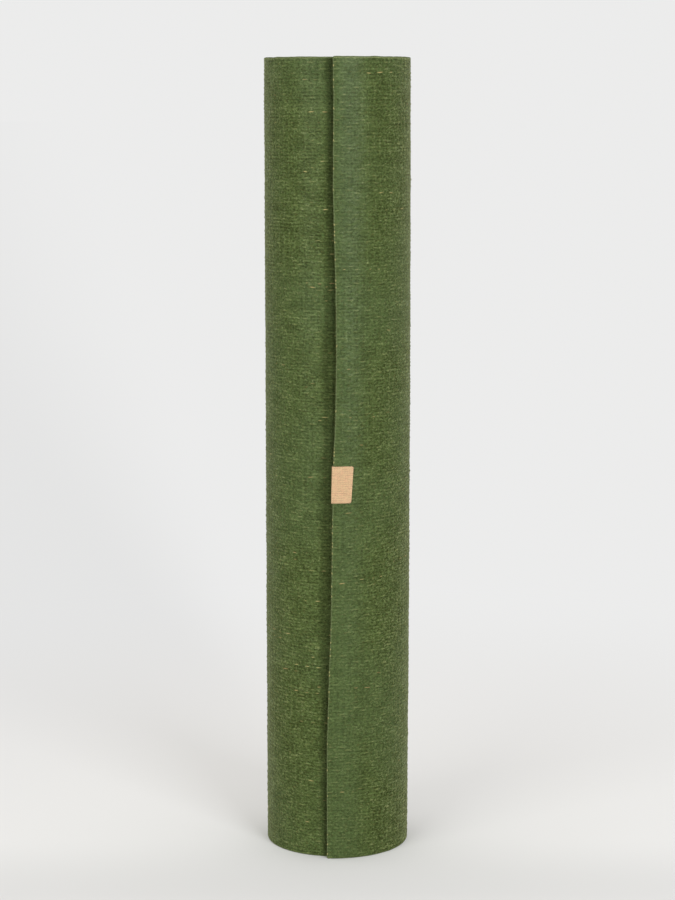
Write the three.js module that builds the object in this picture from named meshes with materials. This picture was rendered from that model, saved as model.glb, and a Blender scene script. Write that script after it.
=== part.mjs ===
// Rolled jute yoga mat, standing on one end, with a small woven tag folded round its free end.
// Millimetres, +Z up. The origin is under the middle of the roll, on the surface it stands on.

import * as THREE from 'three';

// The mat laid flat
const MAT_LENGTH = 1830;
const MAT_WIDTH = 610;
const MAT_THICKNESS = 4;

// The roll seen from above. Degrees run counter-clockwise from +X, and radii reach the middle of the sheet.
const OUTER_RADIUS = 55.8;
const DEPTH_RATIO = 0.97;
const OUTER_PITCH = 4.45;
const PITCH_GROWTH = 0.07;
const CORE_WAVER = 0.9;
const CORE_WAVER_ANGLE = 25;
const FRONT_ANGLE = 270;
const LIFT_REACH = 48;
const FREE_END_RISE = 0.5;

// The tag, folded in half round the free end
const TAG_HEIGHT = 28;
const TAG_BOTTOM = 279;
const TAG_VISIBLE_LEG = 14;
const TAG_HIDDEN_LEG = 11;
const TAG_THICKNESS = 0.5;
const TAG_CLEARANCE = 0.4;

// How finely the surfaces are divided
const SEGMENTS_PER_TURN = 30;
const FREE_END_SPREAD = 24;
const FREE_END_SEGMENTS = 6;
const PLAIN_LEVELS = [0, 1, 2, 3].map((band) => (band * MAT_WIDTH) / 3);
const TAG_LEG_STEPS = 5;
const TAG_CORNER_STEPS = 3;
const SLOPE_STEP = 0.05;

// The free end at each height: how far it lies to the right of the roll's front line, and how far it lifts
const FREE_END = [
  { height: 0, offset: -7.0, lift: 0.9 },
  { height: 85, offset: -7.0, lift: 0.9 },
  { height: 145, offset: -5.5, lift: 1.0 },
  { height: 190, offset: -3.9, lift: 1.1 },
  { height: 270, offset: -3.0, lift: 1.4 },
  { height: 315, offset: -2.0, lift: 1.5 },
  { height: 345, offset: -0.7, lift: 1.5 },
  { height: 390, offset: -0.1, lift: 1.4 },
  { height: 440, offset: -0.6, lift: 1.3 },
  { height: 515, offset: -2.5, lift: 1.3 },
  { height: 580, offset: -2.1, lift: 1.5 },
  { height: MAT_WIDTH, offset: -2.6, lift: 1.7 },
];

const FULL_TURN = 360;
const toRadians = THREE.MathUtils.degToRad;
const toDegrees = THREE.MathUtils.radToDeg;

// Reads one column of the free end's table at a height, in straight runs between its rows
function freeEnd(column, height) {
  const above = FREE_END.findIndex((row) => row.height >= height);
  if (above <= 0) return FREE_END[0][column];
  const low = FREE_END[above - 1];
  const high = FREE_END[above];
  const share = (height - low.height) / (high.height - low.height);
  return THREE.MathUtils.lerp(low[column], high[column], share);
}

// The direction of the free end at a height
function freeEndAngle(height) {
  const offset = freeEnd('offset', height);
  return FRONT_ANGLE + toDegrees(Math.asin(offset / OUTER_RADIUS));
}

// The middle of the sheet in a direction that keeps growing from the free end inwards, turn after turn
function middlePoint(angle, height) {
  const turns = (angle - FRONT_ANGLE) / FULL_TURN;
  const winding = OUTER_PITCH * turns + (PITCH_GROWTH * turns * turns) / 2;
  const waver = CORE_WAVER * (winding / OUTER_RADIUS) ** 2 * Math.cos(2 * toRadians(angle - CORE_WAVER_ANGLE));
  const nearness = Math.max(0, 1 - (angle - freeEndAngle(height)) / LIFT_REACH);
  const lift = freeEnd('lift', height) * Math.min(nearness, 1) ** 2;
  const radius = OUTER_RADIUS - winding + waver + lift;
  const direction = toRadians(angle);
  return new THREE.Vector3(radius * Math.cos(direction), DEPTH_RATIO * radius * Math.sin(direction), height);
}

// The way the sheet runs in a direction, and the way its outer face looks
function sheetFrame(angle, height) {
  const ahead = middlePoint(angle + SLOPE_STEP, height);
  const behind = middlePoint(angle - SLOPE_STEP, height);
  const along = ahead.sub(behind).normalize();
  const outward = new THREE.Vector3(along.y, -along.x, 0);
  return { along, outward };
}

// The direction where the wound sheet has used up the mat's length
function innerEndAngle() {
  const height = MAT_WIDTH / 2;
  let angle = freeEndAngle(height);
  let length = 0;
  let point = middlePoint(angle, height);
  while (length < MAT_LENGTH) {
    angle += 1;
    const next = middlePoint(angle, height);
    length += next.distanceTo(point);
    point = next;
  }
  return angle;
}

// Joins two upright rows of points with triangles, both rows read from the bottom up
function stitchRows(corners, left, right) {
  let i = 0;
  let j = 0;
  while (i < left.length - 1 || j < right.length - 1) {
    const rightDone = j === right.length - 1;
    const leftNext = i < left.length - 1 && (rightDone || left[i + 1].z <= right[j + 1].z);
    if (leftNext) {
      corners.push(left[i], right[j], left[i + 1]);
      i += 1;
    } else {
      corners.push(left[i], right[j], right[j + 1]);
      j += 1;
    }
  }
}

// A closed sheet from its columns, each with points up its outer and its inner face
function closedSheet(columns) {
  const corners = [];
  stitchRows(corners, columns[0].inner, columns[0].outer);
  for (let k = 1; k < columns.length; k += 1) {
    const from = columns[k - 1];
    const to = columns[k];
    stitchRows(corners, from.outer, to.outer);
    stitchRows(corners, to.inner, from.inner);
    corners.push(from.outer[0], from.inner[0], to.outer[0]);
    corners.push(from.inner[0], to.inner[0], to.outer[0]);
    corners.push(from.outer.at(-1), to.outer.at(-1), from.inner.at(-1));
    corners.push(from.inner.at(-1), to.outer.at(-1), to.inner.at(-1));
  }
  const last = columns.at(-1);
  stitchRows(corners, last.outer, last.inner);
  const geometry = new THREE.BufferGeometry().setFromPoints(corners);
  geometry.computeVertexNormals();
  return geometry;
}

// The top edge stands a little higher at the free end and settles over the first turn
function topEdge(angle) {
  const settled = Math.min(1, Math.max(0, (angle - FRONT_ANGLE) / FULL_TURN));
  return MAT_WIDTH + FREE_END_RISE * (1 - settled);
}

// One column of the mat, where angleAt gives its direction at each height
function matColumn(angleAt, levels) {
  const column = { outer: [], inner: [] };
  for (const height of levels) {
    const angle = angleAt(height);
    const middle = middlePoint(angle, height);
    const half = sheetFrame(angle, height).outward.multiplyScalar(MAT_THICKNESS / 2);
    const outer = middle.clone().add(half);
    const inner = middle.clone().sub(half);
    if (height === MAT_WIDTH) {
      outer.z = topEdge(angle);
      inner.z = topEdge(angle);
    }
    column.outer.push(outer);
    column.inner.push(inner);
  }
  return column;
}

// The mat, wound from its free end at the front to its inner end in the core
function matGeometry() {
  const columns = [];
  const endLevels = FREE_END.map((row) => row.height);
  const spreadEnd = FRONT_ANGLE + FREE_END_SPREAD;
  for (let k = 0; k < FREE_END_SEGMENTS; k += 1) {
    const share = k / FREE_END_SEGMENTS;
    columns.push(matColumn((height) => THREE.MathUtils.lerp(freeEndAngle(height), spreadEnd, share), endLevels));
  }
  const innerEnd = innerEndAngle();
  const step = FULL_TURN / SEGMENTS_PER_TURN;
  for (let angle = spreadEnd; angle < innerEnd - step / 2; angle += step) {
    const levels = angle < FRONT_ANGLE + LIFT_REACH ? endLevels : PLAIN_LEVELS;
    columns.push(matColumn(() => angle, levels));
  }
  columns.push(matColumn(() => innerEnd, PLAIN_LEVELS));
  return closedSheet(columns);
}

// The tag's way round the free end, as distances along the sheet from its end and out from its middle
function tagRoute() {
  const standOff = TAG_CLEARANCE + TAG_THICKNESS / 2;
  const half = MAT_THICKNESS / 2;
  const route = [];
  for (let k = TAG_LEG_STEPS; k > 0; k -= 1) {
    route.push({ along: (TAG_HIDDEN_LEG * k) / TAG_LEG_STEPS, out: -half - standOff, turn: -90 });
  }
  for (const side of [-1, 1]) {
    for (let k = 0; k <= TAG_CORNER_STEPS; k += 1) {
      const share = k / TAG_CORNER_STEPS;
      const turn = side < 0 ? -90 - 90 * share : 180 - 90 * share;
      const heading = toRadians(turn);
      route.push({ along: standOff * Math.cos(heading), out: side * half + standOff * Math.sin(heading), turn });
    }
  }
  for (let k = 1; k <= TAG_LEG_STEPS; k += 1) {
    route.push({ along: (TAG_VISIBLE_LEG * k) / TAG_LEG_STEPS, out: half + standOff, turn: 90 });
  }
  return route;
}

// A point of the tag's section at a height, where away is how far it lies outside the route
function tagPoint(stop, away, height) {
  const endAngle = freeEndAngle(height);
  const forward = Math.max(0, stop.along);
  const angle = endAngle + toDegrees(forward / OUTER_RADIUS);
  const { along, outward } = sheetFrame(angle, height);
  const heading = toRadians(stop.turn);
  const reach = stop.along - forward + (forward > 0 ? 0 : away * Math.cos(heading));
  const out = stop.out + away * Math.sin(heading);
  return middlePoint(angle, height).addScaledVector(along, reach).addScaledVector(outward, out);
}

// The tag, a woven strip folded in half round the free end
function tagGeometry() {
  const levels = [TAG_BOTTOM, TAG_BOTTOM + TAG_HEIGHT];
  const columns = tagRoute().map((stop) => ({
    outer: levels.map((height) => tagPoint(stop, TAG_THICKNESS / 2, height)),
    inner: levels.map((height) => tagPoint(stop, -TAG_THICKNESS / 2, height)),
  }));
  return closedSheet(columns);
}

const coatedJute = new THREE.MeshStandardMaterial({ color: 0x556b38, roughness: 0.85, metalness: 0 });
const wovenTag = new THREE.MeshStandardMaterial({ color: 0xd9b48c, roughness: 0.9, metalness: 0 });

const mat = new THREE.Mesh(matGeometry(), coatedJute);
mat.name = 'mat';
const tag = new THREE.Mesh(tagGeometry(), wovenTag);
tag.name = 'label';

// The roll is set with the middle of its outline over the origin
const roll = new THREE.Group();
roll.add(mat, tag);
const middle = new THREE.Box3().setFromObject(roll).getCenter(new THREE.Vector3());
roll.position.set(-middle.x, -middle.y, 0);

const part = new THREE.Group();
part.add(roll);

export default part;
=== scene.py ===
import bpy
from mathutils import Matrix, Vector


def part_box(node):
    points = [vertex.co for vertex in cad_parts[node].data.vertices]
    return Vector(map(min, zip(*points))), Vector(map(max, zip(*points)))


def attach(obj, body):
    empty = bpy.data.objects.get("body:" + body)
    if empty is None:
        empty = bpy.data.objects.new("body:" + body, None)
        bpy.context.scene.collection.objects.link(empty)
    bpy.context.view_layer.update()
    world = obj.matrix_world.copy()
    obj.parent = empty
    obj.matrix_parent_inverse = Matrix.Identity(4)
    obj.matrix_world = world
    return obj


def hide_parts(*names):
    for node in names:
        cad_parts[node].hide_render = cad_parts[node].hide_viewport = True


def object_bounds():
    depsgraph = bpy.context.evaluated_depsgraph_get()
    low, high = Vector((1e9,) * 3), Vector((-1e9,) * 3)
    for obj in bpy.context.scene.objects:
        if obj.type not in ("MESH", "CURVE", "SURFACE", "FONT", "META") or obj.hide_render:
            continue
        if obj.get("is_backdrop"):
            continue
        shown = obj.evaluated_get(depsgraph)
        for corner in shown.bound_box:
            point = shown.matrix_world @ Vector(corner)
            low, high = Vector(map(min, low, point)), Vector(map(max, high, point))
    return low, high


bl_info = {
    "name": "Rolled jute yoga mat",
    "version": (1, 0, 0),
    "blender": (4, 5, 0),
    "location": "View3D > Sidebar > Yoga mat",
    "description": "Winds a woven jute mat, folds its tag round the free end and sets up a pale studio",
    "category": "Object",
}

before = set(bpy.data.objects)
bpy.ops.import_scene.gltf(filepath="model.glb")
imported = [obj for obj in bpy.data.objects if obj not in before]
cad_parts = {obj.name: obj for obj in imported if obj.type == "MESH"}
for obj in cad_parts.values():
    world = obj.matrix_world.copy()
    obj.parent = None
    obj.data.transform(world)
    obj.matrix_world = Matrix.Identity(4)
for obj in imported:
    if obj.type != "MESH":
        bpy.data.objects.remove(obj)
CAD_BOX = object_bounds()

import functools
import math

import bpy
import numpy as np
from bpy.props import FloatProperty, FloatVectorProperty, IntProperty, PointerProperty
from bpy.types import Operator, Panel, PropertyGroup
from mathutils import Vector

MM = 0.001
FULL_TURN = 360.0
CIRCLE = 2 * math.pi

# Side of the square of random numbers that the soft noise repeats
LATTICE = 512

# The free end: height, how far to the right of the roll's front line it lies, and how far it lifts, in mm
FREE_END = (
    (0, -7.0, 0.9),
    (85, -7.0, 0.9),
    (145, -5.5, 1.0),
    (190, -3.9, 1.1),
    (270, -3.0, 1.4),
    (315, -2.0, 1.5),
    (345, -0.7, 1.5),
    (390, -0.1, 1.4),
    (440, -0.6, 1.3),
    (515, -2.5, 1.3),
    (580, -2.1, 1.5),
    (610, -2.6, 1.7),
)

# The painted shade band to the left of the free end, where the free end's shadow falls: height, and how far
# it reaches, in mm
SHADE_REACH = ((0, 6), (90, 7), (180, 11), (400, 14), (480, 9), (610, 7))

# Heights of the rows of points where little shows, from the nearer cut edge, in mm
COARSE_BANDS = (0, 2, 8, 30, 90, 150, 210, 265)

# How far the fine points run on under the free end, and the spacing of the coarse ones, in degrees
FINE_OVERLAP = 14.0
COARSE_STEP = 6.0

# What the points of a mesh carry: their place on the flat sheet, how worn the yarn is, and the painted shade
# beside the free end
PLACE = "place_on_mat"
BARE_AND_SHADE = "bare_yarn"

# Which material a face has
FACE, CUT = 0, 1


def setting(kind, **always):
    """A kind of property, which is then made from a name, a description and a default"""

    def make(name, description, default, **limits):
        return kind(name=name, description=description, default=default, **always, **limits)

    return make


Count = setting(IntProperty)
Number = setting(FloatProperty)
Length = setting(FloatProperty, unit="LENGTH")
Angle = setting(FloatProperty, subtype="ANGLE")
Power = setting(FloatProperty, unit="POWER")
Colour = setting(FloatVectorProperty, subtype="COLOR", size=3)
Place = setting(FloatVectorProperty, subtype="TRANSLATION", size=3)
Area = setting(FloatVectorProperty, unit="LENGTH", size=2)


class MatSizes(PropertyGroup):
    """Sizes of the mat and of the roll"""

    length: Length("Length", "Length of the mat laid flat", 1.83, min=0.5)
    width: Length("Width", "Width of the mat, which is the roll's height", 0.61, min=0.2)
    thickness: Length("Thickness", "Thickness of the coated weave", 0.004, min=0.001)
    outer_radius: Length("Outer radius", "Radius of the sheet's middle at the free end", 0.0558, min=0.02)
    depth_ratio: Number("Depth ratio", "Depth of the roll over its width", 0.97, min=0.8, max=1.2)
    pitch: Length("Pitch", "Distance between the outermost turns", 0.00445, min=0.001)
    pitch_growth: Length("Pitch growth", "How much looser each turn is than the one outside it", 0.00007)
    core_waver: Length("Core waver", "How far the core is out of round", 0.0009)
    bow: Length("Bow", "How far the right side bulges at half height", 0.0008)
    lift_reach: Number("Lift reach", "Degrees over which the lifted free end comes down", 48.0, min=5.0)
    press_depth: Length("Press depth", "How far the weave is pressed in beside the free end", 0.0004)
    rows: Count("Rows", "Number of yarns across the mat's width", 237, min=20)
    yarns: Count("Yarns", "Number of yarns along the mat's length", 385, min=20)
    relief: Length("Relief", "Height of the weave under its coating", 0.0004)
    corner: Length("Corner", "Rounding of the cut edges", 0.0009, max=0.0019)


class MatColours(PropertyGroup):
    """Colours of the coating and of the jute, with painted shade and highlights on the coating"""

    leaf: Colour("Leaf", "Coating on the raised yarns", (0.093, 0.133, 0.0305))
    # On the face this is mixed in where the weave lies low, as painted shade in its hollows
    moss: Colour("Moss", "Coating in the hollows", (0.021, 0.030, 0.0022))
    sage: Colour("Sage", "Cooler stretches of coating", (0.070, 0.108, 0.040))
    husk: Colour("Husk", "Browner flecks in the coating", (0.115, 0.105, 0.028))
    fern: Colour("Fern", "Greener flecks in the coating", (0.048, 0.105, 0.022))
    # Painted highlight on the highest strands, where the coating is also worn thin
    highlight_and_wear: Colour("Tip", "Coating worn thin on the highest strands", (0.27, 0.29, 0.115))
    # Lighter than the leaf: worn coating on the rounded outer corner, and a painted highlight where that
    # corner catches the light
    edge: Colour("Edge", "Coating on the rounded outer corner", (0.135, 0.168, 0.068))
    # Painted shade: a near-black green for the band beside the free end, where the free end's shadow falls
    pressed_and_shaded: Colour("Pressed", "Dark band beside the free end", (0.009, 0.013, 0.0005))
    straw: Colour("Straw", "Bare jute yarn", (0.48, 0.39, 0.155))
    rust: Colour("Rust", "Darker jute yarn", (0.27, 0.165, 0.065))
    sheen: Colour("Sheen", "Tint of the light that grazes the coating", (0.92, 0.92, 0.3))
    worn_stretches: Count("Worn stretches", "Stretches of bare yarn on the outer turn", 260, min=0)


class TagSizes(PropertyGroup):
    """Sizes and colour of the tag"""

    height: Length("Height", "Size of the tag along the free end", 0.028, min=0.005)
    bottom: Length("Bottom", "Height of the tag's lower edge", 0.279)
    visible_leg: Length("Visible leg", "Length of the outer half of the tag", 0.014)
    hidden_leg: Length("Hidden leg", "Length of the inner half of the tag", 0.011)
    thickness: Length("Thickness", "Thickness of the woven tape", 0.0005)
    clearance: Length("Clearance", "Distance from the tape to the mat", 0.0004)
    corner: Length("Corner", "Rounding of the outer corners", 0.0014)
    tape: Colour("Tape", "Colour of the tape", (0.565, 0.378, 0.214))


class StageSettings(PropertyGroup):
    """The floor, the lights and the camera"""

    floor: Colour("Floor", "Colour of the floor beside the roll", (0.748, 0.730, 0.710))
    backdrop: Colour("Backdrop", "Brightness of the lit backdrop", (0.838, 0.838, 0.835))
    ceiling: Colour("Ceiling", "Brightness of the room overhead", (1.15, 1.15, 1.15))
    room: Colour("Room", "Brightness of the unlit room in front", (0.22, 0.22, 0.22))
    right_light: Power("Right light", "Power of the right softbox", 36.0)
    right_colour: Colour("Right colour", "Colour of the right softbox", (0.95, 1.0, 1.04))
    right_place: Place("Right place", "Middle of the right softbox", (1.1, -2.05, 0.85))
    right_size: Area("Right size", "Width and height of the right softbox", (1.0, 1.4))
    left_light: Power("Left light", "Power of the left softbox", 29.0)
    left_colour: Colour("Left colour", "Colour of the left softbox", (0.96, 1.0, 0.98))
    left_place: Place("Left place", "Middle of the left softbox", (-1.4, -1.85, 0.85))
    left_size: Area("Left size", "Width and height of the left softbox", (1.5, 1.6))
    aim_height: Length("Aim height", "Height on the roll that the softboxes face", 0.3)
    camera_place: Place("Camera place", "Where the camera stands", (-0.00007, -1.6958, 0.57849))
    camera_tilt: Angle("Camera tilt", "How far the camera tips down", 0.15655)
    lens: Number("Lens", "Focal length in mm", 88.66, min=10.0)


class Wire:
    """One output of a material's nodes, so that sums on it read as Python sums"""

    def __init__(self, tree, socket=None):
        self.tree = tree
        self.socket = socket

    def node(self, kind, settings=None, sockets=None, output=0):
        """Adds a node of a kind, with its settings and the values or links of its sockets"""
        made = self.tree.nodes.new(kind)
        for name, value in (settings or {}).items():
            setattr(made, name, value)
        for name, value in (sockets or {}).items():
            if isinstance(value, Wire):
                self.tree.links.new(value.socket, made.inputs[name])
            else:
                made.inputs[name].default_value = value
        return Wire(self.tree, made.outputs[output])

    def sum(self, operation, *terms):
        return self.node("ShaderNodeMath", {"operation": operation}, dict(enumerate(terms)))

    def __add__(self, other):
        return self.sum("ADD", self, other)

    __radd__ = __add__

    def __sub__(self, other):
        return self.sum("SUBTRACT", self, other)

    def __rsub__(self, other):
        return self.sum("SUBTRACT", other, self)

    def __mul__(self, other):
        return self.sum("MULTIPLY", self, other)

    __rmul__ = __mul__

    def __truediv__(self, other):
        return self.sum("DIVIDE", self, other)

    def floor(self):
        return self.sum("FLOOR", self)

    def cosine(self):
        return self.sum("COSINE", self)

    def unsigned(self):
        return self.sum("ABSOLUTE", self)

    def at_least(self, other):
        return self.sum("MAXIMUM", self, other)

    def wave(self):
        """From 1 down to -1 and back over each whole step"""
        return (self * CIRCLE).cosine()

    def cell(self):
        """The number of the whole step that this lies in, and how far past that step's middle it lies"""
        number = self.floor()
        return number, self - number - 0.5

    def squared(self):
        return self * self

    def step(self, low, high):
        """0 below low, 1 above high, and a smooth rise between them"""
        sockets = {"Value": self, "From Min": low, "From Max": high}
        return self.node("ShaderNodeMapRange", {"interpolation_type": "SMOOTHSTEP"}, sockets)

    def split(self):
        """The three parts of a vector"""
        parts = self.node("ShaderNodeSeparateXYZ", sockets={"Vector": self}).socket.node
        return [Wire(self.tree, parts.outputs[k]) for k in range(3)]

    def vector(self, x, y, z=0.0):
        return self.node("ShaderNodeCombineXYZ", sockets={"X": x, "Y": y, "Z": z})

    def attribute(self, name):
        return self.node("ShaderNodeAttribute", {"attribute_name": name}, output="Vector").split()

    def noise(self, place, detail=2.0, roughness=0.5):
        """Soft noise from 0 to 1"""
        sockets = {"Vector": place, "Scale": 1.0, "Detail": detail, "Roughness": roughness}
        return self.node("ShaderNodeTexNoise", sockets=sockets, output="Fac")

    def chance(self, place):
        """A number from 0 to 1 that is the same all over each cell"""
        return self.node("ShaderNodeTexWhiteNoise", {"noise_dimensions": "3D"}, {"Vector": place}, "Value")

    def mix(self, share, first, second):
        """A colour that goes from the first to the second as share goes from 0 to 1"""
        first, second = [c if isinstance(c, Wire) else (*c, 1.0) for c in (first, second)]
        return self.node("ShaderNodeMix", {"data_type": "RGBA"}, {0: share, 6: first, 7: second}, output=2)


def new_material(name):
    """An empty node material and the wire that its first nodes come from"""
    material = bpy.data.materials.new(name)
    material.use_nodes = True
    material.node_tree.nodes.clear()
    return material, Wire(material.node_tree)


def finish_material(material, start, surface, height=None):
    """Ends a material in its shader, with a height in metres as the bump"""
    sockets = dict(surface)
    if height is not None:
        bump = {"Strength": 1.0, "Distance": 1.0, "Height": height}
        sockets["Normal"] = start.node("ShaderNodeBump", sockets=bump)
    shader = start.node("ShaderNodeBsdfPrincipled", sockets=sockets)
    output = material.node_tree.nodes.new("ShaderNodeOutputMaterial")
    material.node_tree.links.new(shader.socket, output.inputs["Surface"])
    return material


def dimmed(colour, share):
    """A colour with each of its parts brought down to a share"""
    return tuple(part * share for part in colour)


@functools.lru_cache(maxsize=None)
def lattice(seed):
    return np.random.default_rng(seed).uniform(-1.0, 1.0, (LATTICE, LATTICE))


def lattice_noise(x, y, seed):
    """Soft noise from -1 to 1 that turns over once for each whole step of x and y"""
    table = lattice(seed)
    column, row = np.floor(x).astype(int), np.floor(y).astype(int)
    fx, fy = x - column, y - row
    fx, fy = fx * fx * (3 - 2 * fx), fy * fy * (3 - 2 * fy)
    corner = [[table[(column + i) % LATTICE, (row + j) % LATTICE] for j in (0, 1)] for i in (0, 1)]
    near, far = [first * (1 - fy) + second * fy for first, second in corner]
    return near * (1 - fx) + far * fx


def soft_line(column):
    """A column of the free end's table as heights and values in metres, with its bends rounded off"""
    heights = [row[0] for row in FREE_END]
    beyond, reach = 60, 12
    grid = np.arange(-beyond, heights[-1] + beyond + 1)
    line = np.interp(grid, heights, [row[column] for row in FREE_END])
    window = np.hanning(2 * reach + 1)
    return grid * MM, np.convolve(np.pad(line, reach, "edge"), window / window.sum(), "valid") * MM


class Roll:
    """The wound sheet, as places in the roll for places on the flat mat"""

    def __init__(self, sizes):
        self.sizes = sizes
        self.end_heights, self.end_offsets = soft_line(1)
        self.end_lifts = soft_line(2)[1]
        self.angles = np.arange(-30.0, 9 * FULL_TURN, 0.5)
        x, y = self.section(self.angles, np.full_like(self.angles, sizes.width / 4), lifted=False)
        steps = np.hypot(np.diff(x), np.diff(y))
        self.lengths = np.concatenate([[0.0], np.cumsum(steps)])
        self.lengths -= np.interp(0.0, self.angles, self.lengths)
        self.centre = self.find_centre()

    def length_at(self, angle):
        """Length along the mat at an angle that grows from the front line inwards"""
        return np.interp(angle, self.angles, self.lengths)

    def angle_at(self, along):
        return np.interp(along, self.lengths, self.angles)

    def free_end(self, height):
        """How far the free end lies to the right of the front line at a height"""
        return np.interp(height, self.end_heights, self.end_offsets)

    def beside_free_end(self, along, height):
        """1 under the free end on the turn beneath it, falling to 0 where the painted shade band ends on its
        left
        """
        angle = self.angle_at(along)
        end = np.degrees(self.free_end(height) / self.sizes.outer_radius) + FULL_TURN
        distance = np.radians(end - angle) * self.sizes.outer_radius
        heights, reaches = zip(*SHADE_REACH)
        reach = np.interp(height / MM, heights, reaches) * MM
        return np.clip(1 - distance / reach, 0, 1)

    def section(self, angle, height, lifted=True):
        """The middle of the sheet at an angle, before the roll is placed"""
        s = self.sizes
        turns = angle / FULL_TURN
        winding = s.pitch * turns + s.pitch_growth * turns * turns / 2
        direction = np.radians(angle - 90.0)
        longest = math.radians(25)
        waver = s.core_waver * (winding / s.outer_radius) ** 2 * np.cos(2 * (direction - longest))
        radius = s.outer_radius - winding + waver
        if lifted:
            end = np.degrees(self.free_end(height) / s.outer_radius)
            nearness = np.clip(1 - (angle - end) / s.lift_reach, 0, 1)
            radius = radius + np.interp(height, self.end_heights, self.end_lifts) * nearness**2
            bulge = np.sin(np.pi * np.clip(height / s.width, 0, 1)) - 0.5
            radius = radius + s.bow * bulge * np.clip(np.cos(direction), 0, 1) ** 2 * np.clip(2 - turns, 0, 1)
        return radius * np.cos(direction), s.depth_ratio * radius * np.sin(direction)

    def find_centre(self):
        """Where the middle of the winding lies in the frame, from the box of the plain roll"""
        low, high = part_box("mat")
        angle = np.arange(0.0, FULL_TURN, 0.5)
        x, y = self.section(angle, np.full_like(angle, self.sizes.width / 6))
        return (low.x + high.x - x.max() - x.min()) / 2, (low.y + high.y - y.max() - y.min()) / 2

    def place(self, along, height, out):
        """Places in the frame, from lengths along the mat, heights and distances out of the sheet's middle"""
        along, height, out = np.broadcast_arrays(along, height, out)
        angle = self.angle_at(along)
        x, y = self.section(angle, height)
        nudge = 0.05
        ahead = self.section(angle + nudge, height)
        behind = self.section(angle - nudge, height)
        run_x, run_y = ahead[0] - behind[0], ahead[1] - behind[1]
        size = np.hypot(run_x, run_y)
        x = x + out * run_y / size + self.centre[0]
        y = y - out * run_x / size + self.centre[1]
        return np.stack([x, y, height], axis=-1)


def bare_stretches(sizes, colours):
    """Stretches of yarn that the coating has come off: row, start, end, how bare, how brown"""
    rng = np.random.default_rng(seed=5)
    row = sizes.width / sizes.rows
    under_end, anywhere = (0.29, 0.335), (0.0, 0.34)
    stretches = []
    for number in range(colours.worn_stretches):
        # The turn under the free end rubs on it, so a third of the stretches are there
        low = rng.uniform(*(anywhere if number % 3 else under_end))
        height = rng.uniform(0.02, 0.6)
        reach = rng.uniform(0.008, 0.04)
        bare = 0.15 + 0.75 * rng.random() ** 2.2
        brown = rng.random() ** 1.3
        stretches.append((int(height / row), low, low + reach, bare, brown))
    return stretches


class SheetMesh:
    """Gathers grids of points and the faces between them"""

    def __init__(self):
        self.points, self.places, self.bare_and_shade = [], [], []
        self.faces, self.kinds = [], []
        self.count = 0

    def add(self, points, places, bare_and_shade=None):
        """Adds points and returns their numbers, in the shape that they come in"""
        shape = points.shape[:-1]
        numbers = np.arange(self.count, self.count + math.prod(shape)).reshape(shape)
        self.points.append(points.reshape(-1, 3))
        self.places.append(places.reshape(-1, 3))
        self.bare_and_shade.append(np.zeros((numbers.size, 3)) if bare_and_shade is None else bare_and_shade.reshape(-1, 3))
        self.count += numbers.size
        return numbers

    def add_face(self, points, kind):
        self.faces.append([int(point) for point in points])
        self.kinds.append(kind)

    def cover(self, grid, kind, flipped=False):
        """Faces all over a grid of points, or between two lines of as many points"""
        grid = np.asarray(grid)
        faces = np.stack([grid[:-1, :-1], grid[1:, :-1], grid[1:, 1:], grid[:-1, 1:]], axis=-1).reshape(-1, 4)
        if flipped:
            faces = faces[:, ::-1]
        self.faces.extend(faces.tolist())
        self.kinds.extend([kind] * len(faces))

    def join(self, left, left_levels, right, right_levels, kind):
        """Faces between two upright lines of points whose levels differ"""
        i = j = 0
        left_halfway = (left_levels[1:] + left_levels[:-1]) / 2
        right_halfway = (right_levels[1:] + right_levels[:-1]) / 2
        while i < len(left) - 1 or j < len(right) - 1:
            if j == len(right) - 1 or (i < len(left) - 1 and left_halfway[i] <= right_halfway[j]):
                self.add_face([left[i], right[j], left[i + 1]], kind)
                i += 1
            else:
                self.add_face([left[i], right[j], right[j + 1]], kind)
                j += 1

    def build(self, name, materials):
        mesh = bpy.data.meshes.new(name)
        mesh.from_pydata(np.concatenate(self.points).tolist(), [], self.faces)
        for material in materials:
            mesh.materials.append(material)
        mesh.polygons.foreach_set("material_index", np.array(self.kinds, np.int32))
        mesh.polygons.foreach_set("use_smooth", np.ones(len(self.faces), bool))
        for attribute, values in ((PLACE, self.places), (BARE_AND_SHADE, self.bare_and_shade)):
            layer = mesh.attributes.new(attribute, "FLOAT_VECTOR", "POINT")
            layer.data.foreach_set("vector", np.concatenate(values).astype(np.float32).ravel())
        mesh.update()
        return show(name, mesh)


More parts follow.
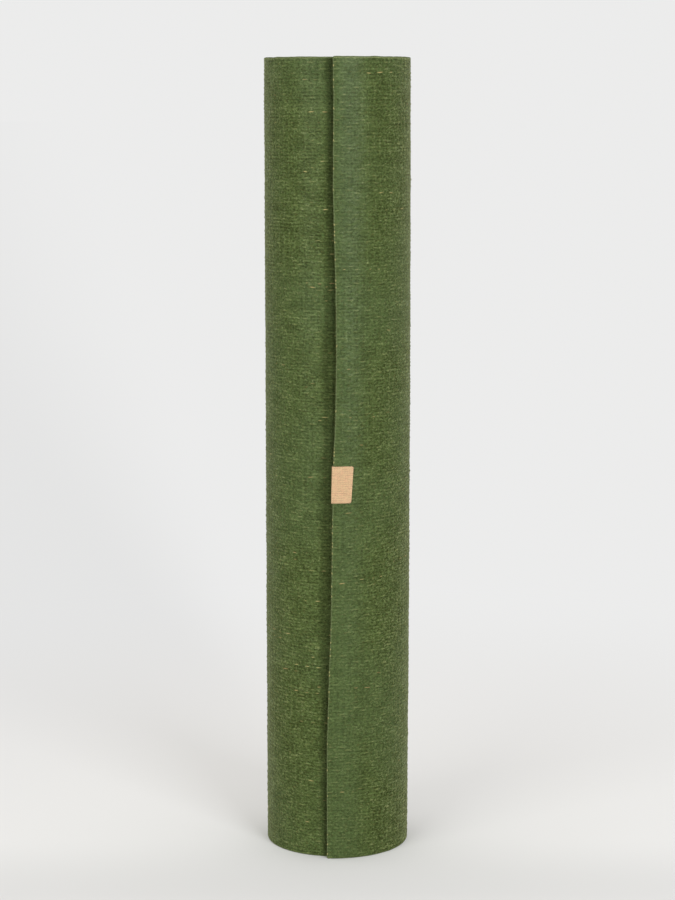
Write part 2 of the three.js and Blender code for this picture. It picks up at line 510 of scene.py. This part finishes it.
class Weave:
    """The face of the mat in wires: its yarns, the grain of its coating and the places worn bare"""

    def __init__(self, start, sizes):
        self.start = start
        self.sizes = sizes
        self.along, self.across, _ = start.attribute(PLACE)
        self.wear, self.brown, self.pressed_and_shaded = start.attribute(BARE_AND_SHADE)
        # Strands climb to the right near the free end and level out further round
        self.climb = self.across - 0.4 * self.along + self.along * self.along
        self.find_crossings()
        self.grain = self.speckle((0.8, 0.6), roughness=0.6)
        self.fibre = self.speckle((3.0, 0.7), 8.0, roughness=0.6)
        self.lumps = self.speckle((2.0, 1.4), 6.0, roughness=0.6)
        self.patch = self.speckle((13, 9), detail=3.0)
        self.wide = self.speckle((110, 90), 5.0, detail=1.0)
        self.body = self.raised_yarns()
        self.strand, self.strand_shade = self.curls()
        self.worn, self.rubbed = self.dashes()
        self.tone = self.lightness()

    def speckle(self, size, layer=0.0, climbing=False, **kind):
        """Soft noise whose spots have a size in mm along the mat and across it"""
        across = self.climb if climbing else self.across
        place = self.start.vector(self.along / (size[0] * MM), across / (size[1] * MM), layer)
        return self.start.noise(place, **kind)

    def find_crossings(self):
        """The rows of the plain weave, and each stretch of a row that passes over a cross yarn"""
        self.rows = self.across / (self.sizes.width / self.sizes.rows)
        self.row, self.beside = self.rows.cell()
        odd = self.row - (self.row / 2).floor() * 2
        yarn_size = self.sizes.length / self.sizes.yarns
        number, self.way = (self.along / (2 * yarn_size) + odd / 2).cell()
        self.over = 0.5 + 0.5 * self.way.wave()
        self.yarns = self.along / yarn_size + 0.5
        self.yarn_side = self.yarns.cell()[1]
        chances = [self.start.chance(self.start.vector(number, self.row, layer)) for layer in (3.0, 7.0, 5.0)]
        self.crossing, self.strength, self.lean = chances[0], chances[1], chances[2] - 0.5

    def raised_yarns(self):
        """How far the yarns stand out of the coating, thick and thin"""
        fat = self.start.noise(self.start.vector(self.along / (14 * MM), self.row * 3.7, 1.0))
        weft = (1 - 4.6 * self.beside.squared()).at_least(0.0) * (0.12 + 0.88 * self.over)
        weft = weft * (0.15 + 0.7 * self.crossing + (fat - 0.45))
        warp = (1 - self.yarn_side.squared() / (0.22 * 0.22)).at_least(0.0)
        warp = warp * (0.1 + 0.65 * (1 - self.over)) * (0.2 + 0.9 * self.strength)
        return weft.at_least(warp)

    def curls(self):
        """Thin strands that curl over the yarns, and painted shade beside them"""
        curl = self.speckle((2.3, 1.5), 4.0, climbing=True, detail=1.5)
        gate = self.speckle((3.4, 2.4), 9.0, climbing=True, detail=1.0)
        strand = (1 - (curl - 0.5).unsigned() / 0.055).at_least(0.0) * gate.step(0.46, 0.62)
        strand_shade = (1 - (curl - 0.36).unsigned() / 0.06).at_least(0.0) * gate.step(0.40, 0.60)
        return strand, strand_shade

    def dashes(self):
        """Short dashes of bare yarn on some crossings of a worn stretch, and fainter ones anywhere"""
        shape_along = (self.way + 0.16 * (self.strength - 0.5)) / (0.10 + 0.20 * self.strength)
        shape_beside = (self.beside + self.lean * 0.3 + self.way * self.lean * 1.2) / 0.15
        shape = shape_along.squared() + shape_beside.squared()
        spot = 1 - (shape + 1.4 * (self.fibre - 0.5)).step(0.1, 1.3)
        worn = spot * (1.6 * self.wear - self.crossing).step(0.0, 0.35) * (0.45 + 0.5 * self.strength)
        rubbed = spot * (self.crossing - 0.62).step(0.0, 0.4) * 0.12
        return worn, rubbed

    def lightness(self):
        """How light the coating is: painted shade in the weave's hollows and painted highlight on its raised
        yarns, over patches of its own tone. The painted relief is fainter towards the top.
        """
        relief_strength = 1.06 - 0.22 * self.across / self.sizes.width
        relief = 0.44 * (self.body - 0.35) + 2.0 * (self.lumps - 0.5) + 1.3 * (self.grain - 0.5)
        relief = relief + 0.5 * (self.fibre - 0.5) + 0.55 * self.strand - 0.4 * self.strand_shade
        fullness = 0.87 + 0.5 * self.along.step(0.015, 0.05) - 0.2 * self.along.step(0.1, 0.2)
        fullness = fullness - 0.3 * self.along.step(0.285, 0.325)
        tone = 0.45 + relief_strength * fullness * relief + 0.8 * (self.patch - 0.5)
        ribbed = self.wide.step(0.42, 0.6)
        return tone + 0.08 * ribbed * self.yarns.wave() - 0.03 * self.rows.wave()

    def coating(self, colours):
        """The coating's colour, from painted shade in the hollows to painted highlight on the highest
        strands, where the coating is also worn thin
        """
        mix = self.start.mix
        green = mix(self.tone.step(-0.15, 1.05), colours.moss, colours.leaf)
        green = mix((self.tone - 0.62).step(0.0, 0.9) * 0.68, green, colours.highlight_and_wear)
        # Cooler near the free end: a painted reflection of the light on the flap
        end_reflection = (1 - self.along.step(0.004, 0.030)) * 0.3
        green = mix((self.wide.step(0.4, 0.65) * 0.2).at_least(end_reflection), green, colours.sage)
        tint = self.speckle((2.6, 1.5), 13.0, climbing=True, roughness=0.65)
        green = mix((tint - 0.55).step(0.0, 0.3) * 0.75, green, colours.husk)
        green = mix((0.46 - tint).step(0.0, 0.3) * 0.7, green, colours.fern)
        ragged = self.start.noise(self.start.vector(self.along / (3.0 * MM), 0.0, 21.0))
        by_top = (self.across / MM - self.sizes.width / MM + 1.6 * ragged).step(-0.3, 0.4)
        return mix(by_top * 0.7, green, colours.highlight_and_wear)


def coated_weave_material(sizes, colours):
    """Matte green coating over the jute weave, with bare yarn showing in short dashes"""
    material, start = new_material("coated_jute")
    weave = Weave(start, sizes)
    yarn = start.mix(weave.brown, colours.straw, colours.rust)
    colour = start.mix(weave.worn.at_least(weave.rubbed), weave.coating(colours), yarn)
    # Painted shade in the band beside the free end, where the free end's shadow falls
    colour = start.mix(weave.pressed_and_shaded * 0.6, colour, colours.pressed_and_shaded)
    height = 0.75 * weave.body + 0.4 * weave.grain + 0.2 * weave.fibre + weave.lumps
    height = MM * (height + 0.35 * weave.strand + 0.1 * weave.worn)
    surface = {
        "Base Color": colour,
        "Roughness": 0.75 - 0.2 * weave.tone,
        "Specular IOR Level": 0.12,
        # Less coat in the painted shade band, so that it stays a deep green
        "Coat Weight": (0.06 + 0.2 * weave.tone).at_least(0.0) * (1 - 0.8 * weave.pressed_and_shaded),
        "Coat Roughness": 0.38,
        "Sheen Weight": 0.24,
        "Sheen Roughness": 0.25,
        "Sheen Tint": (*colours.sheen, 1.0),
    }
    return finish_material(material, start, surface, height)


class CutEdge:
    """A cut edge in wires: its grain, and the ends of the yarns in it"""

    def __init__(self, start, sizes):
        self.start = start
        self.along, across, self.out = start.attribute(PLACE)
        yarn_number, yarn_side = (self.along / (sizes.length / sizes.yarns) + 0.5).cell()
        row_number, row_side = (across / (sizes.width / sizes.rows)).cell()
        self.yarn_side = yarn_side / 0.3
        self.row_side = row_side / 0.36
        self.chance = start.chance(start.vector(yarn_number, row_number, 1.0))
        place = start.vector(self.along / (0.5 * MM), across / (0.5 * MM), self.out * 4)
        self.grain = start.noise(place, detail=3.0)
        below_top = 1 - across.step(sizes.width - 2.0 * MM, sizes.width - 1.0 * MM)
        self.at_rim = 1 - across.step(0.0, 1.0 * MM) * below_top

    def coating(self, colours):
        """Dark coating between the faces, in painted shade on the free end's cut face, and a lighter line
        along the rounded outer corner, partly painted highlight and partly worn coating
        """
        mix = self.start.mix
        patchy = self.grain.step(0.3, 0.7)
        # Painted shade: the free end's cut face, away from the top and bottom, is much darker than the other
        # cut edges
        shaded = mix(patchy, dimmed(colours.moss, 0.35), colours.moss)
        open_edge = mix(patchy, colours.moss, colours.sage)
        dull = mix(self.along.step(0.004, 0.012).at_least(self.at_rim), shaded, open_edge)
        row_ridge = (1 - self.row_side.unsigned()).step(0.0, 0.7)
        yarn_ridge = 0.3 + 0.4 * (1 - 0.6 * self.yarn_side.unsigned()).step(0.0, 0.7)
        ridge = row_ridge.at_least(self.at_rim * yarn_ridge)
        lit = self.grain.step(0.3, 0.62) * (0.4 + 0.6 * ridge)
        corner = mix(lit, dimmed(colours.edge, 0.5), colours.edge)
        return mix(self.out.step(0.35, 0.95), dull, corner)

    def yarn_ends(self):
        """How bare the jute is on the cut ends of the yarns, and on the outer corner at some rows"""
        level = (self.out / 0.5 + (self.chance - 0.5) * 0.7).squared()
        yarn_end = 1 - (self.yarn_side.squared() + level).step(0.4, 1.2)
        row_end = 1 - (self.row_side.squared() + level).step(0.3, 1.3)
        corner_level = ((self.out - 0.85) / 0.22).squared()
        corner_end = 1 - (self.row_side.squared() + corner_level).step(0.3, 1.2)
        corner_end = corner_end * (self.chance - 0.74).step(0.0, 0.15)
        bare = yarn_end.at_least(row_end) * (0.15 + 0.6 * self.chance) * self.grain.step(0.3, 0.55)
        return bare.at_least(corner_end * 0.4)


def cut_edge_material(sizes, colours):
    """Green coating with the ends of the jute yarns in it"""
    material, start = new_material("cut_jute_edge")
    edge = CutEdge(start, sizes)
    bare = edge.yarn_ends()
    colour = start.mix(bare, edge.coating(colours), colours.straw)
    height = MM * (0.5 * edge.grain + 0.2 * bare)
    surface = {"Base Color": colour, "Roughness": 0.9, "Specular IOR Level": 0.1}
    return finish_material(material, start, surface, height)


class MatSheet:
    """Winds the mat as one closed sheet, finely divided on the face that shows"""

    def __init__(self, sizes, colours, tag):
        self.sizes, self.colours, self.tag = sizes, colours, tag
        self.roll = Roll(sizes)
        self.mesh = SheetMesh()
        self.rng = np.random.default_rng(seed=9)
        self.stretches = bare_stretches(sizes, colours)
        self.row = sizes.width / sizes.rows
        self.yarn = sizes.length / sizes.yarns
        self.half = sizes.thickness / 2
        self.width, self.corner = sizes.width, sizes.corner
        self.turn_length = self.roll.length_at(FULL_TURN)
        self.find_edge()
        self.find_lines()

    def find_edge(self):
        """Points round a cut edge, from the outer face to the inner one: how far out and how far back"""
        half, corner = self.half, self.corner
        bends = np.radians([30, 60, 90])
        quarter = [(half - corner + corner * math.cos(b), corner - corner * math.sin(b)) for b in bends]
        edge = [*quarter, (0.0, 0.0), *[(-out, back) for out, back in reversed(quarter)]]
        self.edge_outs, self.edge_backs = np.array(edge).T

    def find_lines(self):
        """Heights and lengths of the points on the two faces, from the free end inwards"""
        sizes, roll = self.sizes, self.roll
        self.fine_levels = np.linspace(0, sizes.width, 2 * sizes.rows + 1)
        bands = np.array(COARSE_BANDS) * MM
        self.coarse_levels = np.concatenate([bands, (sizes.width - bands)[::-1]])
        self.fine = np.arange(3 * self.yarn, roll.length_at(FULL_TURN + FINE_OVERLAP), self.yarn / 2)
        first = roll.angle_at(self.fine[-1])
        last = roll.angle_at(sizes.length + roll.end_offsets.mean())
        self.coarse = roll.length_at(np.linspace(first, last, int((last - first) / COARSE_STEP) + 1)[1:])

    def from_free_end(self, levels, back):
        """Lengths for each fine column, the first ones spread evenly from the free end's line"""
        spread = 8
        shares = np.arange(spread)[:, None] / spread
        start = (self.free_line(levels) + self.corner + back) * (1 - shares) + self.fine[0] * shares
        return np.concatenate([start, np.repeat(self.fine[:, None], len(levels), 1)])

    def rise_top(self, along):
        """How far the upper cut edge stands above its line"""
        settled = np.clip(along / 0.35, 0, 1)
        rough = 0.16 * lattice_noise(along / (2.6 * MM), along * 0, 31)
        rough += 0.14 * lattice_noise(along / 0.011, along * 0, 32)
        return 0.4 * MM * (1 - settled) + rough * MM

    def reach_rims(self, levels, along):
        """Heights of a grid's points, with its end rows where the rounding of the cut edges begins"""
        height = np.array(levels)
        height[:, 0] = self.corner
        height[:, -1] = self.width + self.rise_top(along[:, -1]) - self.corner
        return height

    def free_line(self, levels):
        """The free end's line, a little rough where the yarns are cut but straight inside the tag"""
        from_tag = np.abs(levels - self.tag.bottom - self.tag.height / 2)
        open_share = np.clip(from_tag / self.tag.height, 0, 1)
        rough = lattice_noise(levels / (2.6 * MM), levels * 0, 33)
        return self.roll.free_end(levels) + 0.14 * MM * open_share * rough

    def under_tag(self, along, level):
        """1 where the tag lies on the mat or the turn beneath faces it, falling to 0 a little outside that"""
        past = np.maximum(self.tag.bottom - level, level - self.tag.bottom - self.tag.height)
        behind_end = along - self.free_line(level)
        under_outer = behind_end - self.tag.visible_leg
        leg = self.tag.hidden_leg
        under_inner = np.abs(behind_end - self.turn_length - leg / 2) - leg
        return np.clip(1 - np.maximum(past, np.minimum(under_outer, under_inner)) / (3 * MM), 0, 1)

    def yarn_lumps(self, along, level):
        """How far the yarns stand out of the coating, with a few knots"""
        rows = level / self.row
        index = np.floor(rows + 1e-6)
        beside = rows - index - 0.5
        passes = along / (2 * self.yarn) + (index % 2) / 2
        over = 0.5 - 0.5 * np.cos(CIRCLE * passes)
        uneven = 0.5 + 0.5 * lattice_noise(np.floor(passes), index, 11)
        weave = np.clip(1 - 4 * beside**2, 0, 1) * over * (0.4 + 0.9 * uneven) - 0.3
        edge_calm = np.clip(np.minimum(level, self.width - level) / (2 * self.row), 0.25, 1)
        has_knot = self.rng.random(level.shape) > 0.988
        knots = has_knot * self.rng.uniform(0.2, 0.55, level.shape) * edge_calm
        swell = 0.12 * lattice_noise(along / 0.014, level / 0.02, 23)
        swell += 0.1 * self.rng.uniform(-1, 1, level.shape) * edge_calm
        return self.sizes.relief * edge_calm * weave + (knots + swell) * MM

    def wear_at(self, along, level, pressed_and_shaded):
        """How bare and how brown the yarn is at each point, and how deep the painted shade beside the free
        end is
        """
        index = np.floor(level / self.row + 1e-6)
        middle = np.abs(level / self.row - index - 0.5) < 0.25
        wear = np.zeros((*level.shape, 3))
        for number, low, high, bare, brown in self.stretches:
            inside = (index == number) & middle & (along > low) & (along < high)
            wear[inside, 0] = bare
            near = (np.abs(index - number) <= 1) & (along > low - 4 * MM) & (along < high + 4 * MM)
            wear[near, 1] = brown
        risen = np.clip(2 * pressed_and_shaded, 0, 1)
        wear[..., 2] = risen * risen * (3 - 2 * risen) * (1 - 0.5 * pressed_and_shaded**2)
        return wear

    def add(self, points, along, level, side, wear=None):
        """Adds points with their places on the flat sheet, where side is 1 outside and -1 inside"""
        return self.mesh.add(points, np.stack(np.broadcast_arrays(along, level, side), axis=-1), wear)

    def face(self, along, levels, side, relief=False):
        """A grid of points on one face, where along has a line for each column"""
        along, level = np.broadcast_arrays(along, levels)
        settle = np.clip((self.fine[-1] - along) / (8 * MM), 0, 1)
        calm = np.clip(np.minimum(level, self.width - level) / 0.02, 0, 1) * settle
        free = np.clip((along - self.free_line(level)) / 0.02, 0, 1) * settle
        wander = 0.9 * lattice_noise(along / 0.045, level / 0.08, 21)
        wander += 0.45 * lattice_noise(along / 0.011, level / 0.009, 25)
        bend = 1.1 * lattice_noise(along / 0.06 + 40, level / 0.03, 22)
        bend += 0.6 * lattice_noise(along / 0.012, level / 0.006, 26)
        height = self.reach_rims(level + wander * MM * calm, along)
        out = np.full(level.shape, side * self.half)
        wear = None
        if relief:
            # The band beside the free end: a shallow groove pressed into the weave, and painted shade in its
            # colour
            pressed_and_shaded = self.roll.beside_free_end(along, level)
            bulk = settle * (1 - 0.9 * self.under_tag(along, level))
            out = out + self.yarn_lumps(along, level) * bulk - self.sizes.press_depth * pressed_and_shaded**2 * settle
            wear = self.wear_at(along, level, pressed_and_shaded)
        points = self.roll.place(along + bend * MM * free, height, out)
        return self.add(points, along, level, float(side), wear)

    def add_faces(self):
        """The outer face and the inner one"""
        fine_alongs = self.from_free_end(self.fine_levels, 0.0)
        inner_alongs = self.from_free_end(self.coarse_levels, 9 * MM)
        coarse_alongs = np.repeat(self.coarse[:, None], len(self.coarse_levels), 1)
        self.rim_alongs = [np.concatenate([fine_alongs[:, k], self.coarse]) for k in (0, -1)]
        self.outer_fine = self.face(fine_alongs, self.fine_levels, 1, relief=True)
        self.outer_coarse = self.face(coarse_alongs, self.coarse_levels, 1)
        self.inner = self.face(np.concatenate([inner_alongs, coarse_alongs]), self.coarse_levels, -1)
        mesh = self.mesh
        mesh.cover(self.outer_fine, FACE)
        mesh.join(self.outer_fine[-1], self.fine_levels, self.outer_coarse[0], self.coarse_levels, FACE)
        mesh.cover(self.outer_coarse, FACE)
        mesh.cover(self.inner, FACE, flipped=True)

    def end_columns(self, line, levels, way):
        """The upright columns round a cut end, from the outer face to the inner one"""
        along = line + way * self.edge_backs[:, None]
        out = self.edge_outs[:, None]
        height = self.reach_rims(np.broadcast_to(levels, along.shape), along)
        return self.add(self.roll.place(along, height, out), along, levels, out / self.half)

    def add_ends(self):
        """The cut end that is free and the one in the core"""
        core_line = np.full(len(self.coarse_levels), self.coarse[-1] + self.corner)
        self.free_nose = self.end_columns(self.free_line(self.fine_levels), self.fine_levels, 1)
        self.core_nose = self.end_columns(core_line, self.coarse_levels, -1)
        mesh = self.mesh
        mesh.cover(np.concatenate([self.free_nose[::-1], self.outer_fine[:1]]), CUT)
        mesh.join(self.inner[0], self.coarse_levels, self.free_nose[-1], self.fine_levels, CUT)
        mesh.cover(np.concatenate([self.outer_coarse[-1:], self.core_nose, self.inner[-1:]]), CUT)

    def add_rim(self, at_top):
        """The cut edge of the sheet at the top or at the floor, with its corners"""
        mesh, below = self.mesh, not at_top
        k = -1 if at_top else 0
        along = self.rim_alongs[k][:, None]
        height = self.edge_backs
        if at_top:
            height = self.width + self.rise_top(along) - self.edge_backs
        points = self.roll.place(along, height, self.edge_outs)
        between = self.add(points, along, self.width if at_top else 0.0, self.edge_outs / self.half)
        outer_line = np.concatenate([self.outer_fine[:, k], self.outer_coarse[:, k]])
        grid = np.column_stack([outer_line, between, self.inner[:, k]])
        first = np.concatenate([[self.outer_fine[0, k]], self.free_nose[:, k], [self.inner[0, k]]])
        last = np.concatenate([[self.outer_coarse[-1, k]], self.core_nose[:, k], [self.inner[-1, k]]])
        mesh.cover(np.concatenate([first[None, 1:-1], grid[:1, 1:-1]]), CUT, flipped=below)
        for line, neighbour, flip in ((first, grid[0], at_top), (last, grid[-1], below)):
            for end, beside in ((0, 1), (-1, -2)):
                corner = [line[end], line[beside], neighbour[beside]]
                mesh.add_face(corner if flip != (end == 0) else corner[::-1], CUT)
        mesh.cover(np.concatenate([grid[-1:, 1:-1], last[None, 1:-1]]), CUT, flipped=below)
        mesh.cover(grid, CUT, flipped=below)

    def build(self):
        self.add_faces()
        self.add_ends()
        for at_top in (False, True):
            self.add_rim(at_top)
        materials = [make(self.sizes, self.colours) for make in (coated_weave_material, cut_edge_material)]
        return self.mesh.build("mat_sheet", materials)


def tape_material(tag):
    """Fine woven tape"""
    material, start = new_material("woven_tape")
    along, up, _ = start.attribute(PLACE)
    rib_size, cross_size = 1.7 * MM, 1.15 * MM
    rib = (up * (CIRCLE / rib_size)).cosine()
    cross = (along * (CIRCLE / cross_size)).cosine()
    check = rib * cross
    grain = start.noise(start.vector(along / (0.5 * MM), up / (0.7 * MM)), roughness=0.6)
    slub = start.noise(start.vector(along / (4.0 * MM), up / (0.9 * MM), 2.0), detail=1.0)
    patch = start.noise(start.vector(along / (2.5 * MM), up / (2.5 * MM)), detail=1.0)
    rosy = (tag.tape[0] * 1.02, tag.tape[1] * 0.93, tag.tape[2] * 0.96)
    colour = start.mix(patch.step(0.4, 0.65), tag.tape, rosy)
    shade = 0.6 + 0.2 * rib + 0.16 * cross + 0.2 * check + 1.6 * (grain - 0.5) + 1.4 * (slub - 0.5)
    colour = start.mix((1 - shade.step(0.0, 0.9)) * 0.8, colour, dimmed(tag.tape, 0.55))
    height = MM * (0.06 * rib + 0.05 * cross + 0.08 * check + 0.1 * grain)
    surface = {"Base Color": colour, "Roughness": 0.85, "Specular IOR Level": 0.15}
    return finish_material(material, start, surface, height)


class TagTape:
    """Folds the tape round the free end, as one closed sheet"""

    def __init__(self, sizes, tag):
        self.tag = tag
        self.roll = Roll(sizes)
        self.half = sizes.thickness / 2
        self.stand_off = tag.clearance + tag.thickness / 2
        self.levels = np.linspace(-1, 1, 33)

    def stops(self):
        """Stops on the tape's way: length from the mat's end, distance out, heading, share of the leg"""
        tag, half, stand_off = self.tag, self.half, self.stand_off
        stops = [(tag.hidden_leg * (1 - k / 8), -half - stand_off, -90.0, 0.0) for k in range(8)]
        for side, first in ((-1, -90.0), (1, -180.0)):
            for turn in np.linspace(first, first - 90.0, 6):
                heading = math.radians(turn)
                out = side * half + stand_off * math.sin(heading)
                stops.append((stand_off * math.cos(heading), out, turn, 0.0))
        shares = np.concatenate([np.linspace(0.08, 0.88, 12), np.linspace(0.9, 1.0, 7)])
        return stops + [(tag.visible_leg * share, half + stand_off, 90.0, share) for share in shares]

    def reach(self, share):
        """Half the tape's height at a share of the visible leg, less where its corners are rounded"""
        past = (share - 1) * self.tag.visible_leg + self.tag.corner
        if past <= 0:
            return self.tag.height / 2
        return self.tag.height / 2 - self.tag.corner + math.sqrt(max(self.tag.corner**2 - past**2, 0.0))

    def line(self, stop, length, away):
        """Points up the tape at one stop, off its middle by a distance, and their places on the flat tape"""
        along, out, turn, share = stop
        height = self.tag.bottom + self.tag.height / 2 + self.levels * self.reach(share)
        end = self.roll.free_end(height)
        lean = 1 + 0.035 * share * self.levels
        heading = math.radians(turn)
        forward = np.maximum(along * lean, 0.0)
        points = self.roll.place(end + forward, height, out + away * math.sin(heading))
        ahead = self.roll.place(end + 0.1 * MM, height, 0.0) - self.roll.place(end, height, 0.0)
        ahead /= np.linalg.norm(ahead, axis=1, keepdims=True)
        back = min(along, 0.0) + (0.0 if along > 0 else away * math.cos(heading))
        return points + ahead * back, np.stack(np.broadcast_arrays(length, height, away), axis=-1)

    def build(self):
        """The piece and the length of its tape laid flat"""
        mesh = SheetMesh()
        stops = self.stops()
        steps = [math.dist(a[:2], b[:2]) for a, b in zip(stops, stops[1:])]
        lengths = np.concatenate([[0.0], np.cumsum(steps)])
        sides = []
        for away in (self.tag.thickness / 2, -self.tag.thickness / 2):
            lines = [self.line(stop, length, away) for stop, length in zip(stops, lengths)]
            points, places = (np.stack(part) for part in zip(*lines))
            sides.append(mesh.add(points, places))
        outer, inner = sides
        mesh.cover(outer, FACE)
        mesh.cover(inner, FACE, flipped=True)
        mesh.cover(np.stack([inner[:, 0], outer[:, 0]], axis=1), FACE)
        mesh.cover(np.stack([outer[:, -1], inner[:, -1]], axis=1), FACE)
        mesh.cover(np.stack([inner[0], outer[0]]), FACE)
        mesh.cover(np.stack([outer[-1], inner[-1]]), FACE)
        return mesh.build("label_tape", [tape_material(self.tag)]), lengths[-1]


def floor_material(near, far):
    """Matte floor that runs out into a lit backdrop, with painted shade on the floor in front of the roll and
    a painted shadow on the backdrop to its left
    """
    material, start = new_material("pale_floor")
    place = start.node("ShaderNodeTexCoord", output="Object")
    distance = start.node("ShaderNodeVectorMath", {"operation": "LENGTH"}, {0: place}, "Value")
    side, back, _ = place.split()
    # Painted shade: the floor in front of the roll is darker
    front_shade = (0.0 - back).step(0.0, 0.13)
    near = start.mix(front_shade, near, dimmed(near, 0.88))
    # Painted shadow: the backdrop is darker to the left
    left_shadow = (0.0 - side / distance.at_least(0.1)).step(0.11, 0.27)
    far = start.mix(left_shadow, far, dimmed(far, 0.93))
    backdrop = distance.step(0.1, 0.9)
    black = (0.0, 0.0, 0.0)
    surface = {
        "Base Color": start.mix(backdrop, near, black),
        "Emission Color": start.mix(backdrop, black, far),
        "Emission Strength": 1.0,
        "Roughness": 0.9,
        "Specular IOR Level": 0.0,
    }
    return finish_material(material, start, surface)


def studio_world(stage):
    """Light from a bright backdrop and ceiling, with an unlit room in front"""
    world = bpy.data.worlds.new("studio")
    world.use_nodes = True
    world.node_tree.nodes.clear()
    start = Wire(world.node_tree)
    _, back, up = start.node("ShaderNodeTexCoord", output="Generated").split()
    front = (0.0 - back).step(-0.3, 0.5) * up.step(0.15, 0.3) * (1 - up.step(0.6, 0.9))
    light = start.mix(up.step(0.1, 0.9), stage.backdrop, stage.ceiling)
    light = start.mix(front, light, stage.room)
    shader = start.node("ShaderNodeBackground", sockets={"Color": light, "Strength": 1.0})
    output = world.node_tree.nodes.new("ShaderNodeOutputWorld")
    world.node_tree.links.new(shader.socket, output.inputs["Surface"])
    return world


def show(name, data):
    """A new object in the scene"""
    thing = bpy.data.objects.new(name, data)
    bpy.context.scene.collection.objects.link(thing)
    return thing


def add_softbox(name, power, colour, place, size, aim_height):
    """A softbox that faces the roll"""
    light = bpy.data.lights.new(name, "AREA")
    light.shape = "RECTANGLE"
    light.size, light.size_y = size
    light.energy = power
    light.color = colour
    softbox = show(name, light)
    softbox.location = place
    softbox.rotation_mode = "QUATERNION"
    softbox.rotation_quaternion = (Vector((0, 0, aim_height)) - softbox.location).to_track_quat("-Z", "Y")


def add_floor(stage):
    """A round floor out to the horizon"""
    rings = [0.6, 1.5, 4.0, 12.0, 60.0]
    sides = 96
    turns = np.arange(sides) * CIRCLE / sides
    points = [(ring * math.cos(turn), ring * math.sin(turn), 0.0) for ring in rings for turn in turns]
    faces = [list(range(sides))]
    for ring in range(len(rings) - 1):
        for k in range(sides):
            first, second = ring * sides + k, ring * sides + (k + 1) % sides
            faces.append([first, first + sides, second + sides, second])
    mesh = bpy.data.meshes.new("floor")
    mesh.from_pydata(points, [], faces)
    mesh.materials.append(floor_material(stage.floor, stage.backdrop))
    show("floor", mesh)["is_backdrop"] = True


def add_camera(stage):
    """The camera in front of the roll, a little above its middle and tipped down"""
    camera = bpy.data.cameras.new("camera")
    camera.sensor_width = 36.0
    camera.lens = stage.lens
    thing = show("camera", camera)
    thing.location = stage.camera_place
    thing.rotation_euler = (math.pi / 2 - stage.camera_tilt, 0.0, 0.0)
    bpy.context.scene.camera = thing


class YOGA_MAT_OT_wind(Operator):
    """Wind the mat into its roll"""

    bl_idname = "yoga_mat.wind"
    bl_label = "Wind the mat"

    def execute(self, context):
        scene = context.scene
        sheet = MatSheet(scene.mat_sizes, scene.mat_colours, scene.tag_sizes).build()
        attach(sheet, "root")
        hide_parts("mat")
        return {"FINISHED"}


class YOGA_MAT_OT_fold_tag(Operator):
    """Fold the tag round the free end"""

    bl_idname = "yoga_mat.fold_tag"
    bl_label = "Fold the tag"

    def execute(self, context):
        scene = context.scene
        tape, length = TagTape(scene.mat_sizes, scene.tag_sizes).build()
        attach(tape, "root")
        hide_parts("label")
        return {"FINISHED"}


class YOGA_MAT_OT_stage(Operator):
    """Set up the floor, the lights and the camera"""

    bl_idname = "yoga_mat.stage"
    bl_label = "Set up the stage"

    def execute(self, context):
        scene = context.scene
        stage = scene.stage_settings
        add_floor(stage)
        add_camera(stage)
        for side in ("right", "left"):
            settings = [getattr(stage, f"{side}_{part}") for part in ("light", "colour", "place", "size")]
            add_softbox(f"{side}_softbox", *settings, stage.aim_height)
        scene.world = studio_world(stage)
        scene.view_settings.view_transform = "Standard"
        scene.view_settings.look = "None"
        return {"FINISHED"}


class YOGA_MAT_PT_panel(Panel):
    """Lists the steps that build the mat"""

    bl_label = "Yoga mat"
    bl_idname = "YOGA_MAT_PT_panel"
    bl_space_type = "VIEW_3D"
    bl_region_type = "UI"
    bl_category = "Yoga mat"

    def draw(self, context):
        for step in STEPS:
            self.layout.operator(step.bl_idname)


GROUPS = {
    "mat_sizes": MatSizes,
    "mat_colours": MatColours,
    "tag_sizes": TagSizes,
    "stage_settings": StageSettings,
}
STEPS = (YOGA_MAT_OT_wind, YOGA_MAT_OT_fold_tag, YOGA_MAT_OT_stage)
CLASSES = (*GROUPS.values(), *STEPS, YOGA_MAT_PT_panel)


def register():
    for item in CLASSES:
        bpy.utils.register_class(item)
    for name, group in GROUPS.items():
        setattr(bpy.types.Scene, name, PointerProperty(type=group))


def unregister():
    for name in GROUPS:
        delattr(bpy.types.Scene, name)
    for item in reversed(CLASSES):
        bpy.utils.unregister_class(item)


def write_size():
    """Works out the box of the plain model and the box of what is shown"""
    boxes = {"cad": CAD_BOX, "visual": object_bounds()}
    lines = {name: [list(corner) for corner in box] for name, box in boxes.items()}


def main():
    register()
    bpy.ops.yoga_mat.wind()
    bpy.ops.yoga_mat.fold_tag()
    bpy.ops.yoga_mat.stage()
    write_size()


if __name__ == "__main__":
    main()
